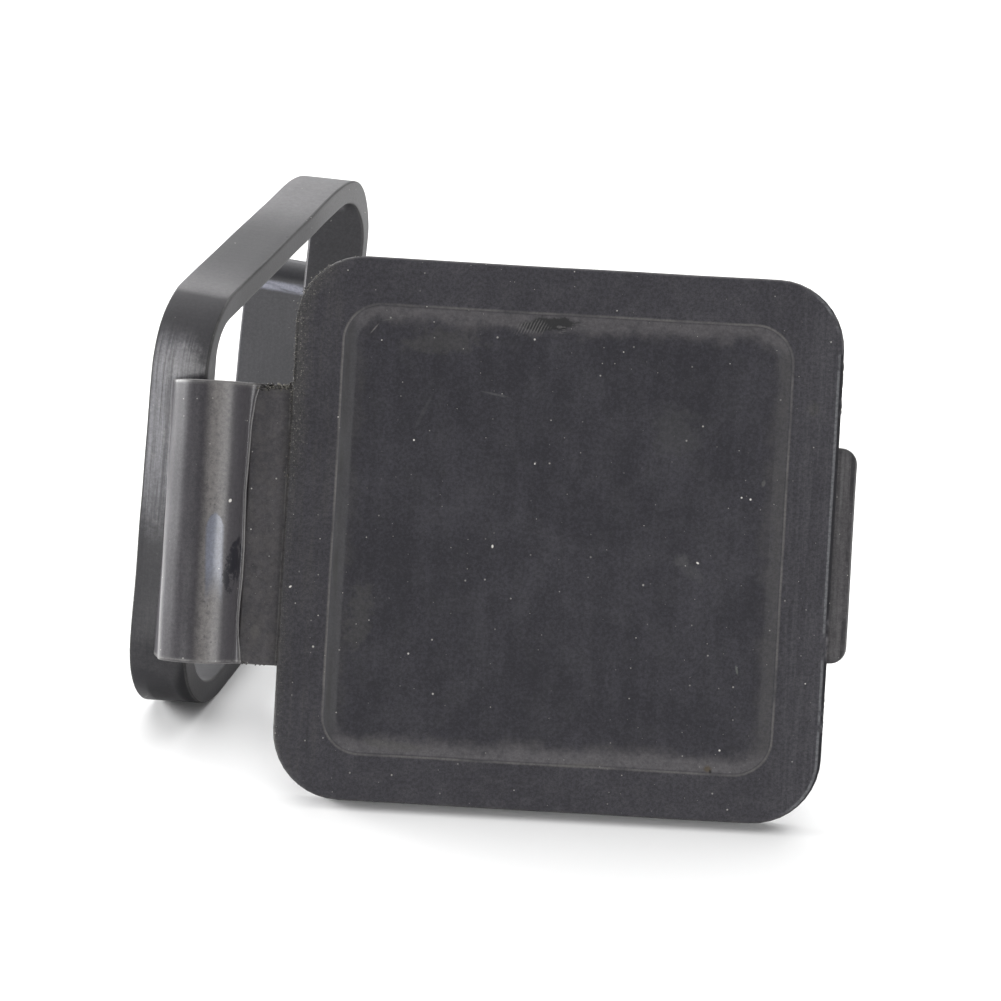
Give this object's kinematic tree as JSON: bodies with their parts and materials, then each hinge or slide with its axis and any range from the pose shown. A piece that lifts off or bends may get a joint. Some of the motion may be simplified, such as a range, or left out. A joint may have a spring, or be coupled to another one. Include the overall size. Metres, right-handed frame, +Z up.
{
  "type": "hitch receiver cover",
  "caption": "Soft rubber cover for a square hitch receiver tube: a band that goes round the tube, a hinged square lid and a pull tongue, moulded as one piece.",
  "frame": {"origin": "middle of the band's opening, on the axis of the receiver tube that goes through it", "axes": "+X along the tube, from the band's back edge to its front edge and the lid; +Y from the hinge side to the pull tongue's side; +Z up, as the cover stands"},
  "size_m": [0.1233, 0.1003, 0.0778],
  "materials": {
    "rubber": "matt, with dust, scuffs and a worn shine on the band and the web"
  },
  "bodies": {
    "root": {"hitch_cover": "rubber"}
  },
  "joints": []
}
